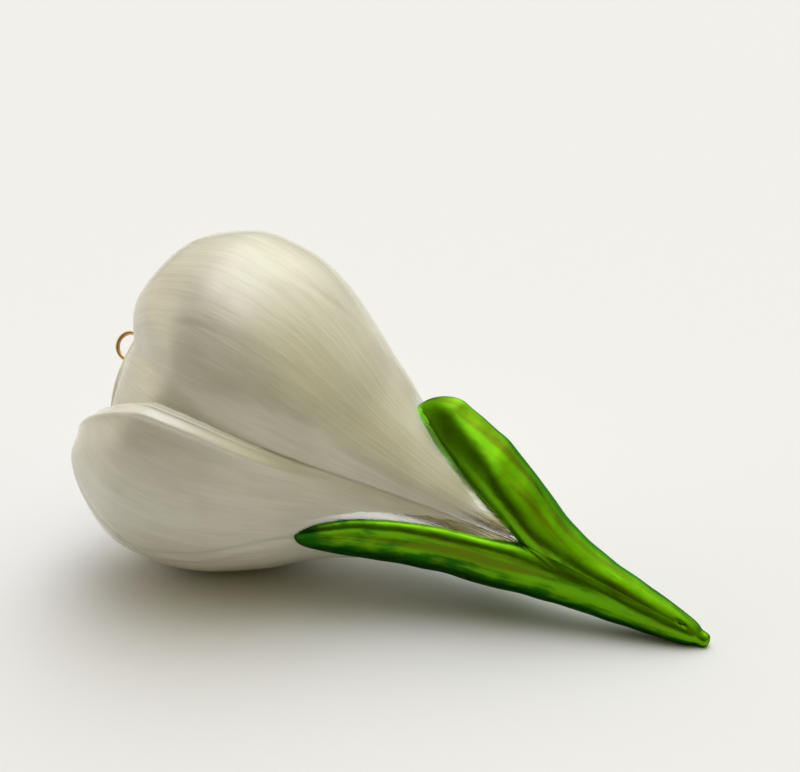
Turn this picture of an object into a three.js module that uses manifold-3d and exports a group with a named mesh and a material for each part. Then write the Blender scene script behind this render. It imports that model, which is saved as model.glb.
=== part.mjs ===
// A hollow glass hanging ornament in the form of a crocus flower, with its metal cap and wire hanger.
// Millimetres, +Z up. The flower lies on a table with its axis in the XZ plane: the stem ends at +X,
// the petals open towards -X, and two petals and the stem end touch the table at z = 0.
import * as THREE from 'three';
import { mergeVertices } from 'three/addons/utils/BufferGeometryUtils.js';
import Module from 'manifold-3d';

const wasm = await Module();
wasm.setup();

// ---------------------------------------------------------------- driving dimensions

const LYING_TILT = 17.35;       // degrees that the axis rises from the stem end to the petals
const LYING_ROLL = -3.7;        // degrees that it lies turned round its axis, so that two petals touch
const FLAT_DEPTH = 0.3;         // how far the lowest points are ground to small flat spots
const GLASS = 0.75;             // wall of the blown glass
const PETALS = 3;               // outer petals, with an inner petal showing in each gap
const SECTOR = 360 / PETALS;

// The flower's stations from the stem end, over the petal tips and down into the hollow of the bloom.
// along, radius: the round body. recess: how deep the gap between two petals lies.
// edge: angle of the first petal's crisp edge. gap: angle from there to the next petal's soft edge.
// lift: how far the middle of a petal swells outward.
const STATIONS = [
  [0, 0, 0, 46, 0, 0],
  [0.4, 0.95, 0, 46, 0, 0],
  [1.9, 1.3, 0, 46, 0, 0],
  [4.5, 2.35, 0.1, 46, 0, 0],
  [14, 4.05, 0.4, 46, 0, 0],
  [28, 5.1, 0.8, 44, 0, 0],
  [40, 7.6, 0.6, 40, 0, 0],
  [50, 9.4, 0.5, 34, 0, 0],
  [60, 13.1, 0.9, 29.5, 0, 0],
  [70, 18.3, 1.5, 26.5, 1, 0],
  [78, 24.3, 2.2, 25.5, 2, 0],
  [86, 29.05, 3, 25.5, 4, 0],
  [93, 31.6, 3.6, 25.5, 6, 0],
  [99, 32.45, 4.1, 25, 9, 0],
  [105, 31.6, 4.5, 23.5, 12.5, 0.6],
  [110.5, 28.2, 4.7, 17.5, 21.5, 1.4],
  [115, 23.6, 4.7, 6, 36, 2.2],
  [118.2, 18.6, 4.3, -14, 58, 2.2],
  [119.6, 14.2, 3.9, -29, 85, 1.3],
  [118.4, 11, 3.1, -37, 110, 0.5],
  [114.6, 8.9, 1.4, -37, 118, 0],
  [110.6, 7.2, 0.4, -32, 118, 0],
  [107.8, 5.6, 0, -32, 118, 0],
  [106.8, 4, 0, -32, 118, 0],
];
const LAST = STATIONS.length - 1;
const [ALONG, RADIUS, RECESS, EDGE, GAP, LIFT] = [0, 1, 2, 3, 4, 5];

const TIP_LENGTHS = [-1.9, 1.2, 0];  // how much longer the tips of the upper, far and front petals are
const HOLLOW = 0.3;             // how much deeper a gap is beside the crisp edge, at its mouth
const SHOULDER = { height: 0.9, reach: 6, along: 69.5, angle: 127 };  // swell beside the upper leaf's tip

// The leaves part from the stem at the fork. Each has its middle's angle, the turn of its petal from
// the first one, where its tip ends, how blunt the tip is, and its half width and its height over the
// body at distances along the axis.
const FORK = 36;
const LEAVES = [
  { angle: -134, turn: -SECTOR, tip: 67, blunt: 4,
    half: [[20, 7.8], [36, 7.8], [44, 6.8], [52, 6.2], [62, 6]],
    height: [[12, 0], [20, 0.1], [28, 1.2], [36, 2.5], [44, 3.6], [52, 3.8], [60, 3.5], [67, 3]] },
  { angle: -15.5, turn: 0, tip: 73.2, blunt: 4.6,
    half: [[20, 7.2], [36, 7.2], [44, 6], [52, 5.6], [62, 5.6]],
    height: [[12, 0], [20, 0.5], [28, 1.3], [36, 1.6], [44, 2], [52, 2.4], [60, 2.3], [68, 2], [73.2, 1.8]] },
  { angle: 112, turn: SECTOR, tip: 65.2, blunt: 4,
    half: [[20, 8.5], [36, 8.5], [44, 7.1], [52, 5.4], [62, 5]],
    height: [[12, 0.3], [20, 0.9], [28, 2.2], [36, 4], [42, 6], [48, 7.8], [54, 8], [60, 7.2], [65.2, 6.3]] },
];
const LEAF_TIP_ROUND = 3;       // length over which a leaf's tip rounds down to the body
const LEAF_REACH = 11;          // station past which there is no leaf
const LAST_OUTER = 14;          // station past which the body only bends into the bloom's end

// The open glass neck stands in the hollow between the petals, under the cap.
const NECK = { outer: 4, inner: 3.2, base: 106, top: 115.4 };
const SEAT = 0.3;               // clearance between the pieces that touch

const CAP_SHEET = 0.4;
const CAP = {
  inner: NECK.outer + 0.45, outer: NECK.outer + 0.45 + CAP_SHEET,
  under: NECK.top + SEAT, top: NECK.top + SEAT + CAP_SHEET,
  skirtEnd: NECK.top - 3.3, flare: 0.45, corner: 0.8, crimps: 16, crimp: 0.14, segments: 64,
};

const WIRE = 0.82;              // spring wire
const WIRE_HOLE = 1.5;          // the two holes in the cap that the wire's legs pass through
const LEG = 1.15;               // half the distance between the legs in the cap
const LOOP = 2.6;               // loop radius at the wire's middle
const LOOP_PLANE = 123;         // angle round the axis of the plane that the loop lies in
const LOOP_LEAN = 19;           // degrees that the loop is bent over in its own plane, from the cap on
const LOOP_BASE = CAP.top + 2;  // where the legs close into the loop, before it is bent over

// ---------------------------------------------------------------- curves and places

/** One column of the station table at a fractional station, as a Catmull-Rom spline. */
function station(t, column) {
  const i = Math.min(Math.max(Math.floor(t), 0), LAST - 1);
  const value = (n) => STATIONS[Math.min(Math.max(n, 0), LAST)][column];
  const [a, b, c, d] = [value(i - 1), value(i), value(i + 1), value(i + 2)];
  const s = t - i;
  return b + 0.5 * s * (c - a + s * (2 * a - 5 * b + 4 * c - d + s * (3 * (b - c) + d - a)));
}

/** A smooth step from 0 at low to 1 at high. */
const ease = (x, low, high) => THREE.MathUtils.smoothstep(x, low, high);

/** A curve through pairs of distance and height, level at both ends. */
function along(rows, x) {
  const last = rows.length - 1;
  if (x <= rows[0][0]) return rows[0][1];
  if (x >= rows[last][0]) return rows[last][1];
  const i = rows.findIndex((row) => row[0] > x) - 1;
  const slope = (n) => {
    if (n <= 0 || n >= last) return 0;
    return (rows[n + 1][1] - rows[n - 1][1]) / (rows[n + 1][0] - rows[n - 1][0]);
  };
  const h = rows[i + 1][0] - rows[i][0];
  const s = (x - rows[i][0]) / h;
  const [p, q] = [rows[i][1], rows[i + 1][1]];
  const cubic = s * s * (3 - 2 * s);
  return p + (q - p) * cubic + h * s * (1 - s) * ((1 - s) * slope(i) - s * slope(i + 1));
}

/** An angle brought into -180 to 180 degrees. */
const wrap = (angle) => THREE.MathUtils.euclideanModulo(angle + 180, 360) - 180;

/** Half the width of a leaf, in millimetres round the body: its curve of widths, closed at the tip. */
function leafHalf(leaf, a) {
  const x = THREE.MathUtils.clamp((a - FORK) / (leaf.tip - FORK), 0, 1);
  return along(leaf.half, a) * Math.sqrt(1 - x ** leaf.blunt);
}

/** The petals' relief: a crisp bevelled edge on one side of each gap and a soft swell on the other. */
function petalRelief(t, angle, radius) {
  const fromEdge = THREE.MathUtils.euclideanModulo(angle - station(t, EDGE), SECTOR);
  const arc = THREE.MathUtils.degToRad(1) * Math.max(radius, 3);
  const inSoft = (fromEdge - station(t, GAP)) * arc;
  const inCrisp = (SECTOR - fromEdge) * arc;
  const swell = THREE.MathUtils.clamp(radius * 0.34, 1.5, 11);
  const reach = THREE.MathUtils.clamp(radius * (0.43 + 0.27 * ease(t, 9, 12)), 1.9, 24);
  const side = THREE.MathUtils.clamp((inSoft + 0.25 * swell) / reach, 0, 1);
  const soft = (1 - (Math.hypot(side, 0.1) - 0.1) / (Math.hypot(1, 0.1) - 0.1)) ** 2.2;
  const step = inCrisp < 0.5 ? 1 - 0.55 * ease(inCrisp, 0, 0.5) : 0.45 - 0.27 * ease(inCrisp, 0.5, 2.4);
  const bevel = Math.max(step - 0.18 * ease(inCrisp, 2.4, 9), 0);
  const crispness = ease(t, 8.2, 11);
  const crisp = crispness * bevel + (1 - crispness) * (1 - ease(inCrisp, -0.2, swell));
  const sunk = Math.max(soft, crisp);
  const which = THREE.MathUtils.euclideanModulo(Math.floor((angle - station(t, EDGE)) / SECTOR), PETALS);
  const tip = TIP_LENGTHS[which] * ease(t, 15.3, 17) * (1 - ease(t, 18.2, 20));
  const hollow = 1 + HOLLOW * (1 - ease(fromEdge, 12, 60)) * ease(t, 16.5, 18);
  return (station(t, LIFT) + tip) * (1 - sunk) - station(t, RECESS) * hollow * sunk;
}

/** The leaves' relief: each stands off the body, with a round side wall and a rounded tip. */
function leafRelief(t, angle, a, radius) {
  if (t > LEAF_REACH) return 0;
  let height = 0;
  for (const leaf of LEAVES) {
    if (a >= leaf.tip) continue;
    const across = Math.abs(wrap(angle - leaf.angle)) * THREE.MathUtils.degToRad(1) * radius;
    const x = Math.min(across / Math.max(leafHalf(leaf, a), 0.001), 1);
    const tip = Math.min(Math.sqrt((leaf.tip - a) / LEAF_TIP_ROUND), 1);
    height = Math.max(height, along(leaf.height, a) * tip * Math.sqrt(1 - x ** 2.6));
  }
  return height;
}

/** The low round swell of the body beside the upper leaf's tip. */
function shoulder(t, angle, a, radius) {
  if (t > LAST_OUTER) return 0;
  const across = THREE.MathUtils.degToRad(wrap(angle - SHOULDER.angle)) * radius;
  const distance = Math.hypot(a - SHOULDER.along, across) / SHOULDER.reach;
  return SHOULDER.height * Math.exp(-distance * distance);
}

/** The relief of the whole surface over the round body. */
function relief(t, angle) {
  const radius = Math.max(station(t, RADIUS), 0.05);
  const a = station(t, ALONG);
  return petalRelief(t, angle, radius) + leafRelief(t, angle, a, radius) + shoulder(t, angle, a, radius);
}

/** A point of the flower's surface as distance along the axis, radius and angle, moved out by height. */
function surface(t, angle, height) {
  const step = 0.002;
  const [t0, t1] = [Math.max(t - step, 0), Math.min(t + step, LAST)];
  const da = station(t1, ALONG) - station(t0, ALONG);
  const dr = station(t1, RADIUS) - station(t0, RADIUS);
  const length = Math.hypot(da, dr);
  const radius = station(t, RADIUS) + (da / length) * height;
  return [station(t, ALONG) - (dr / length) * height, Math.max(radius, 0), angle];
}

const TILT = THREE.MathUtils.degToRad(LYING_TILT);
const AXIS = new THREE.Vector3(-Math.cos(TILT), 0, Math.sin(TILT));
const FRONT = new THREE.Vector3(0, -1, 0);
const ABOVE = new THREE.Vector3(Math.sin(TILT), 0, Math.cos(TILT));
const origin = new THREE.Vector3();

/** A point given along the axis, out from it, and round it from the front (0) to the top (90 degrees). */
function place(a, radius, angle) {
  const turn = THREE.MathUtils.degToRad(angle + LYING_ROLL);
  return new THREE.Vector3()
    .addScaledVector(AXIS, a)
    .addScaledVector(FRONT, radius * Math.cos(turn))
    .addScaledVector(ABOVE, radius * Math.sin(turn))
    .sub(origin);
}

// ---------------------------------------------------------------- the glass body

// Rings of the mesh as [from station, to station, steps], outside and inside.
const OUTSIDE = [
  [0.35, 2, 4], [2, 5, 5], [5, 7.4, 6], [7.4, 9.4, 14], [9.4, 14, 11], [14, 19, 13], [19, LAST, 6],
];
const INSIDE = [[3.4, 7.4, 5], [7.4, 9.4, 6], [9.4, 14, 6], [14, 19, 8], [19, LAST, 3]];

// Columns of the mesh in one petal's sector, as places between the lines that they follow:
// 0 the sector's lower edge, 1 and 2 the sides of the leaf or petal, 3 the petal's crisp edge.
const COLUMNS = [
  0, 0.14, 0.32, 0.55, 0.78, 0.93, 1, 1.035, 1.1, 1.22, 1.36, 1.5,
  1.64, 1.78, 1.9, 1.965, 2, 2.12, 2.32, 2.52, 2.7, 2.84, 2.93, 2.985,
];
const COLUMN_COUNT = COLUMNS.length * PETALS;
const LEAF_TO_PETAL = [9.3, 12.5];  // stations between which the columns turn from leaf to petal

/** The stations of the rings in a list of [from, to, steps]. */
function spread(ranges) {
  const starts = ranges.flatMap(([from, to, steps]) =>
    Array.from({ length: steps }, (_, i) => from + ((to - from) * i) / steps));
  return [...starts, ranges.at(-1)[1]];
}

/** The angles of a ring's columns, which follow the leaves' sides and the edges of the petals. */
function ringAngles(t) {
  const radius = Math.max(station(t, RADIUS), 0.05);
  const bloom = ease(t, ...LEAF_TO_PETAL);
  return LEAVES.flatMap((leaf) => {
    const upper = station(t, EDGE) + leaf.turn;
    const lower = upper - SECTOR;
    const room = Math.min(upper - leaf.angle, leaf.angle - lower);
    const leafSide = THREE.MathUtils.radToDeg(leafHalf(leaf, station(t, ALONG)) / radius);
    const petalSide = Math.max(SECTOR - station(t, GAP), 8) / 2;
    const middle = THREE.MathUtils.lerp(leaf.angle, upper - petalSide, bloom);
    const stemSide = THREE.MathUtils.clamp(leafSide, room * 0.3, room * 0.94);
    const side = THREE.MathUtils.lerp(stemSide, petalSide * 0.75, bloom);
    const lines = [lower, middle - side, middle + side, upper];
    return COLUMNS.map((column) => {
      const i = Math.min(Math.floor(column), 2);
      return lines[i] + (lines[i + 1] - lines[i]) * (column - i);
    });
  });
}

/** A ring of points on the outside of the glass. */
function outerRing(t) {
  return ringAngles(t).map((angle) => surface(t, angle, relief(t, angle)));
}

/** Puts the frame's origin under the middle of the flower, with the lowest points just under z = 0. */
function setDown() {
  const points = spread(OUTSIDE).flatMap(outerRing).map(([a, radius, angle]) => place(a, radius, angle));
  const box = new THREE.Box3().setFromPoints(points);
  box.getCenter(origin);
  origin.z = box.min.z + FLAT_DEPTH;
}
setDown();

/** A ring of every second point on the inside: a wall's thickness under the lowest relief near it. */
function innerRing(t) {
  const angles = ringAngles(t);
  return angles.filter((_, i) => i % 2 === 0).map((angle, k) => {
    const around = [-1, 0, 1].map((n) => {
      const i = 2 * k + n;
      const turn = i < 0 ? -360 : i >= COLUMN_COUNT ? 360 : 0;
      return angles[THREE.MathUtils.euclideanModulo(i, COLUMN_COUNT)] + turn;
    });
    const heights = around.flatMap((other) =>
      [Math.max(t - 0.2, 0), t, Math.min(t + 0.2, LAST)].map((nearby) => relief(nearby, other)));
    return surface(t, angle, Math.min(...heights) - GLASS);
  });
}

/** A plain ring of the neck, with the columns of the last station. */
function neckRing(a, radius, step) {
  return ringAngles(LAST).filter((_, i) => i % step === 0).map((angle) => [a, radius, angle]);
}

/** Triangles between two rings of one length, or from a ring to one with half as many points. */
function band(first, count, second, otherCount) {
  const faces = [];
  const ratio = count / otherCount;
  for (let i = 0; i < otherCount; i += 1) {
    const here = second + i;
    const next = second + ((i + 1) % otherCount);
    const edge = Array.from({ length: ratio + 1 }, (_, k) => first + ((i * ratio + k) % count));
    for (let k = 0; k < ratio; k += 1) faces.push(edge[k], edge[k + 1], here);
    faces.push(edge[ratio], next, here);
  }
  return faces;
}

/** A closed surface from a first pole, through rings, to a last pole. */
function closedSurface(start, rings, end) {
  const points = [start, ...rings.flat(), end];
  const faces = [];
  let first = 1;
  rings.forEach((ring, n) => {
    const next = rings[n + 1];
    if (next) faces.push(...band(first, ring.length, first + ring.length, next.length));
    if (n < rings.length - 1) first += ring.length;
  });
  const [opening, closing] = [rings[0].length, rings.at(-1).length];
  for (let i = 0; i < opening; i += 1) faces.push(0, 1 + ((i + 1) % opening), 1 + i);
  for (let i = 0; i < closing; i += 1) faces.push(points.length - 1, first + i, first + ((i + 1) % closing));
  const geometry = new THREE.BufferGeometry();
  const positions = points.flatMap(([a, radius, angle]) => place(a, radius, angle).toArray());
  geometry.setAttribute('position', new THREE.Float32BufferAttribute(positions, 3));
  geometry.setIndex(faces);
  return geometry;
}

/** A three.js geometry as a manifold solid. */
function solid(geometry) {
  const bare = geometry.clone();
  bare.deleteAttribute('normal');
  bare.deleteAttribute('uv');
  const merged = mergeVertices(bare, 1e-5);
  return new wasm.Manifold(new wasm.Mesh({
    numProp: 3,
    vertProperties: new Float32Array(merged.attributes.position.array),
    triVerts: new Uint32Array(merged.index.array),
  }));
}

/** A manifold solid as a three.js geometry. */
function geometryOf(shape) {
  const mesh = shape.getMesh();
  const geometry = new THREE.BufferGeometry();
  geometry.setAttribute('position', new THREE.BufferAttribute(mesh.vertProperties, 3));
  geometry.setIndex(new THREE.BufferAttribute(mesh.triVerts, 1));
  return geometry;
}

/** The blown glass: the outside, over the neck's lip and back along the inside to the stem. */
function glassBody() {
  const rings = [
    ...spread(OUTSIDE).map(outerRing),
    neckRing(NECK.top, NECK.outer, 1),
    neckRing(NECK.top, NECK.inner, 2),
    neckRing(NECK.base, NECK.inner, 2),
    ...spread(INSIDE).reverse().map(innerRing),
  ];
  const sealedEnd = station(INSIDE[0][0], ALONG) - GLASS;
  const blown = closedSurface([0, 0, 0], rings, [sealedEnd, 0, 0]);
  const ground = new THREE.BoxGeometry(300, 300, 20).translate(0, 0, -10);
  return geometryOf(solid(blown).subtract(solid(ground)));
}

// ---------------------------------------------------------------- the cap and its wire

/** Puts a geometry made round +Y on the flower's axis: y is distance along it, +X its front, -Z its top. */
function ontoAxis(geometry) {
  const frame = new THREE.Matrix4().makeBasis(FRONT, AXIS, ABOVE.clone().negate());
  frame.setPosition(place(0, 0, 0));
  return geometry.applyMatrix4(frame);
}

/** The stamped cap: a cup of thin sheet with a crimped, flared skirt and two holes for the wire. */
function cap() {
  const bend = Array.from({ length: 5 }, (_, i) => {
    const turn = (Math.PI / 2) * (i / 4);
    return [CAP.outer - CAP.corner * (1 - Math.sin(turn)), CAP.top - CAP.corner * (1 - Math.cos(turn))];
  });
  const profile = [
    [0, CAP.under],
    [CAP.inner, CAP.under],
    [CAP.inner, CAP.skirtEnd + 1],
    [CAP.inner + CAP.flare, CAP.skirtEnd],
    [CAP.outer + CAP.flare, CAP.skirtEnd],
    [CAP.outer, CAP.skirtEnd + 1],
    [CAP.outer, CAP.skirtEnd + 2],
    ...bend.reverse(),
    [0, CAP.top],
  ];
  const cup = new THREE.LatheGeometry(profile.map(([x, y]) => new THREE.Vector2(x, y)), CAP.segments);
  const points = cup.attributes.position;
  for (let i = 0; i < points.count; i += 1) {
    const [x, y, z] = [points.getX(i), points.getY(i), points.getZ(i)];
    const skirt = 1 - ease(y, CAP.skirtEnd, CAP.under - 0.4);
    const wave = CAP.crimp * skirt * Math.cos(CAP.crimps * Math.atan2(z, x));
    const radius = Math.hypot(x, z);
    const grow = radius > NECK.outer ? 1 + wave / radius : 1;
    points.setXYZ(i, x * grow, y, z * grow);
  }
  const turn = THREE.MathUtils.degToRad(LOOP_PLANE + LYING_ROLL);
  const holes = [-LEG, LEG].map((offset) => new THREE.CylinderGeometry(WIRE_HOLE / 2, WIRE_HOLE / 2, 3, 20)
    .translate(offset * Math.cos(turn), CAP.top, -offset * Math.sin(turn)));
  const pierced = holes.reduce((shape, hole) => shape.subtract(solid(hole)), solid(cup));
  return ontoAxis(geometryOf(pierced));
}

/** The wire: legs sprung apart under the neck, up through the cap and round into a loop. */
function wireHanger() {
  const lean = THREE.MathUtils.degToRad(LOOP_LEAN);
  const opening = Math.asin(LEG / LOOP);
  const centre = LOOP_BASE + LOOP * Math.cos(opening);
  const leg = [
    [5, 101], [4, 102.8], [3, 104.5], [2.1, 106.6], [1.6, 109.5], [1.25, 113], [LEG, CAP.top],
  ];
  const bends = 14;
  const ring = Array.from({ length: bends + 1 }, (_, i) => {
    const turn = opening + ((2 * Math.PI - 2 * opening) * i) / bends;
    const side = LOOP * Math.sin(turn);
    const up = centre - LOOP * Math.cos(turn) - CAP.top;
    const across = side * Math.cos(lean) + up * Math.sin(lean);
    return [across, CAP.top + up * Math.cos(lean) - side * Math.sin(lean)];
  });
  const otherLeg = leg.map(([across, a]) => [-across, a]).reverse();
  const points = [...leg, ...ring, ...otherLeg].map(([across, a]) => place(a, across, LOOP_PLANE));
  const section = new THREE.Shape().absarc(0, 0, WIRE / 2, 0, 2 * Math.PI);
  const path = new THREE.CatmullRomCurve3(points, false, 'centripetal');
  const options = { steps: 70, curveSegments: 5, extrudePath: path, bevelEnabled: false };
  return new THREE.ExtrudeGeometry(section, options);
}

// ---------------------------------------------------------------- the ornament

const ornament = new THREE.Group();

/** Adds one named piece with its own material. */
function add(name, geometry, color, roughness, metalness) {
  const material = new THREE.MeshStandardMaterial({ color, roughness, metalness });
  const mesh = new THREE.Mesh(geometry, material);
  mesh.name = name;
  ornament.add(mesh);
}

add('glass_body', glassBody(), 0xe6e6da, 0.3, 0.4);
add('cap', cap(), 0xb08a4e, 0.35, 1);
add('wire_hanger', wireHanger(), 0xb08a4e, 0.3, 1);

export default ornament;
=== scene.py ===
import bmesh
import bpy
import numpy as np
from bpy.props import FloatProperty, FloatVectorProperty, IntProperty, PointerProperty
from mathutils import Matrix


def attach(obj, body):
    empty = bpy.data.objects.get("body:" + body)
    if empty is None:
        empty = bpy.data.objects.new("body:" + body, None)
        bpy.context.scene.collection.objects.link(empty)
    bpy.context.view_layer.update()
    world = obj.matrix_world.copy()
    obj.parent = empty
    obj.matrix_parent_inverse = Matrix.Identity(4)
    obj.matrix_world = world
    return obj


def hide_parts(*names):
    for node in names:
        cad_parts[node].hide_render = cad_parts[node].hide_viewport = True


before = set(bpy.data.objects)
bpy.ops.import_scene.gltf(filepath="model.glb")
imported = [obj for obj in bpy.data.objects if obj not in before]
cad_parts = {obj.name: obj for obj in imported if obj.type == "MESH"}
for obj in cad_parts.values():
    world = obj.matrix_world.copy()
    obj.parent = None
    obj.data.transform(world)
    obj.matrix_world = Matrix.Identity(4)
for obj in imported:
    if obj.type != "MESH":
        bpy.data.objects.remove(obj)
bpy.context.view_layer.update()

bl_info = {
    "name": "Glass crocus ornament",
    "version": (1, 0, 0),
    "blender": (4, 5, 0),
    "location": "3D View > Sidebar > Ornament",
    "description": "Blown-glass crocus flower with lacquered petals and leaves, cap and wire hanger",
    "category": "Add Mesh",
}

MM = 0.001
IMAGE_WIDTH = 800
IMAGE_HEIGHT = 772
SENSOR_MM = 36.0

# ------------------------------------------------------------------ the shape of the glass, in millimetres

PETALS = 3
SECTOR = 360 / PETALS

# Stations from the stem end, over the petal tips and down into the hollow of the bloom: distance along the
# axis, radius of the round body, depth of the gap between petals, angle of the crisp petal edge, angle from
# there to the next petal's soft edge, and swell of a petal's middle.
STATIONS = np.array([
    (0, 0, 0, 46, 0, 0),
    (0.4, 0.95, 0, 46, 0, 0),
    (1.9, 1.3, 0, 46, 0, 0),
    (4.5, 2.35, 0.1, 46, 0, 0),
    (14, 4.05, 0.2, 46, 0, 0),
    (28, 5.1, 0.45, 44, 0, 0),
    (40, 7.6, 0.6, 40, 0, 0),
    (50, 9.4, 0.5, 34, 0, 0),
    (60, 13.1, 0.9, 29.5, 0, 0),
    (70, 18.3, 1.5, 26.5, 1, 0),
    (78, 24.3, 2.2, 25.5, 2, 0),
    (86, 29.05, 3, 25.5, 4, 0),
    (93, 31.6, 3.6, 25.5, 6, 0),
    (99, 32.45, 4.1, 25, 9, 0),
    (105, 31.6, 4.5, 23.5, 12.5, 0.6),
    (110.5, 28.2, 4.7, 17.5, 21.5, 1.4),
    (115, 23.6, 4.7, 6, 36, 2.2),
    (118.2, 18.6, 4.3, -14, 58, 2.2),
    (119.6, 14.2, 3.9, -29, 85, 1.3),
    (118.4, 11, 3.1, -37, 110, 0.5),
    (114.6, 8.9, 1.4, -37, 118, 0),
    (110.6, 7.2, 0.4, -32, 118, 0),
    (107.8, 5.6, 0, -32, 118, 0),
    (106.8, 4, 0, -32, 118, 0),
], dtype=float)
LAST = len(STATIONS) - 1
ALONG, RADIUS, RECESS, EDGE, GAP, LIFT = range(6)

# The leaves: angle, petal's turn from the front one, distance along to the tip, bluntness of the tip,
# fullness of the section, and half the width and the height by distance along.
FORK = 36.0
LEAVES = (
    dict(angle=-134, turn=-SECTOR, tip=67, blunt=4, round=2.15,
         half=((20, 7.8), (36, 7.8), (44, 6.8), (52, 6.2), (62, 6)),
         height=((12, 0), (20, 0.1), (28, 1.2), (36, 2.5), (44, 3.6), (52, 3.8), (60, 3.5), (67, 3))),
    dict(angle=-15.5, turn=0, tip=73.2, blunt=4.6, round=2.15,
         half=((20, 7.2), (36, 7.2), (44, 6), (52, 5.6), (62, 5.6)),
         height=((12, 0), (20, 0.5), (28, 1.3), (36, 1.6), (44, 2), (52, 2.4), (60, 2.3), (68, 2),
                 (73.2, 1.8))),
    dict(angle=112, turn=SECTOR, tip=65.2, blunt=4, round=1.6,
         half=((20, 8.5), (36, 8.5), (44, 7.1), (52, 5.3), (62, 4.2)),
         height=((12, 0.3), (20, 0.9), (28, 2.2), (36, 4), (42, 6), (48, 7.8), (54, 8), (60, 7.2),
                 (65.2, 6.3))),
)
TIP_LENGTHS = (-1.9, 1.2, 0.0)   # how much longer the tips of the upper, far and front petals are
HOLLOW = 0.3                    # how much deeper a gap is beside the crisp edge, at its mouth
LEAF_TIP_ROUND = 5.0            # length of the rounded tip
LEAF_REACH = 11.0               # the station before which all leaves end
LEAF_CHANNEL = 0.35             # depth of the two channels along a leaf

# Lines along the petals: distance along, and angle there.
MIDRIB = ((71, 80, 86, 99, 104, 115), (-14, -21, -27, -36, -30, -28))
CREASE = ((86, 89, 94, 100, 106, 110), (52, 53, 54, 54, 51, 50))

# The dimple at the stem end.
PIT_ALONG, PIT_ANGLE, PIT_RADIUS, PIT_DEPTH = 5.6, 52.0, 0.42, 0.55

# The green coat's outer and inner face, its overlap past the leaf's edge and past the sector's side in
# degrees, and how much deeper the glass lies under the coat and round the pit.
COAT_OUTER, COAT_INNER, COAT_EDGE, COAT_OVERLAP = 0.03, -0.2, 0.06, 0.3
GLASS_UNDER_COAT, GLASS_UNDER_PIT = -0.35, -0.6
THINNEST = 0.05                 # the least radius that the round body is given

NECK_OUTER, NECK_INNER, NECK_BASE, NECK_TOP = 4.0, 3.2, 106.0, 115.4
CAP_SHEET = 0.4
CAP_INNER = NECK_OUTER + 0.45
CAP_OUTER = CAP_INNER + CAP_SHEET
CAP_UNDER = NECK_TOP + 0.3
CAP_TOP = CAP_UNDER + CAP_SHEET
CAP_SKIRT_END = NECK_TOP - 3.3
CAP_FLARE, CAP_CORNER, CAP_CRIMPS, CAP_CRIMP = 0.45, 0.8, 16, 0.14

WIRE = 0.82
WIRE_HOLE = 1.5
LEG = 1.15
LOOP = 2.6
LOOP_PLANE = 123.0
LOOP_LEAN = 19.0              # degrees that the loop is bent over in its own plane, from the cap on
LOOP_BASE = CAP_TOP + 2

# Columns in one petal's sector, between its lower edge 0, the sides 1 and 2 of its leaf or petal, and its
# crisp edge 3.
COLUMNS = (0, 0.14, 0.32, 0.55, 0.78, 0.93, 1, 1.035, 1.1, 1.22, 1.36, 1.5,
           1.64, 1.78, 1.9, 1.965, 2, 2.12, 2.32, 2.52, 2.7, 2.84, 2.93, 2.985, 3)
LEAF_TO_PETAL = (9.3, 12.5)

# Large soft lamps: direction, how tightly the light keeps to it, and colour.
LAMPS = (
    ((0.0, 0.0, 1.0), 12.0, (2.05, 2.05, 2.25)),
    ((0.0, 0.45, 0.89), 12.0, (1.5, 1.52, 1.65)),
    ((0.0, 0.75, 0.66), 5.0, (1.85, 1.85, 1.6)),
    ((-0.98, 0.0, 0.2), 5.0, (1.6, 1.48, 1.12)),
    ((0.0, -0.98, 0.2), 5.0, (0.06, 0.02, 0.0)),
    ((0.75, 0.0, 0.66), 5.0, (0.62, 0.57, 0.15)),
)


def station(t, column):
    """One column of the stations at a fractional station: a Catmull-Rom spline through its values."""
    values = STATIONS[:, column]
    i = np.clip(np.floor(t).astype(int), 0, LAST - 1)
    s = t - i
    a, b, c, d = (values[np.clip(i + n, 0, LAST)] for n in (-1, 0, 1, 2))
    return b + 0.5 * s * (c - a + s * (2 * a - 5 * b + 4 * c - d + s * (3 * (b - c) + d - a)))


def ease(x, low, high):
    """Smooth step: 3s^2 - 2s^3, where s runs from 0 at low to 1 at high."""
    s = np.clip((x - low) / (high - low), 0, 1)
    return s * s * (3 - 2 * s)


def curve(rows, x):
    """A smooth curve through pairs of distance and height, level at both ends: cubic Hermite pieces."""
    xs, ys = np.array(rows, dtype=float).T
    x = np.clip(x, xs[0], xs[-1])
    i = np.clip(np.searchsorted(xs, x, side="right") - 1, 0, len(xs) - 2)
    slope = np.zeros_like(ys)
    slope[1:-1] = (ys[2:] - ys[:-2]) / (xs[2:] - xs[:-2])
    h = xs[i + 1] - xs[i]
    s = (x - xs[i]) / h
    bend = h * s * (1 - s) * ((1 - s) * slope[i] - s * slope[i + 1])
    return ys[i] + (ys[i + 1] - ys[i]) * s * s * (3 - 2 * s) + bend


def wrap(angle):
    """An angle brought into -180 to 180 degrees."""
    return (angle + 180) % 360 - 180


def round_from(angle, centre, radius):
    """Distance round the body, in millimetres, from a centre angle to an angle."""
    return np.radians(np.abs(wrap(angle - centre))) * radius


def leaf_half(leaf, along):
    """Half a leaf's width in millimetres: its curve of widths, closed at the tip as a superellipse."""
    x = np.clip((along - FORK) / (leaf["tip"] - FORK), 0, 1)
    return curve(leaf["half"], along) * np.sqrt(1 - x ** leaf["blunt"])


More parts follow.
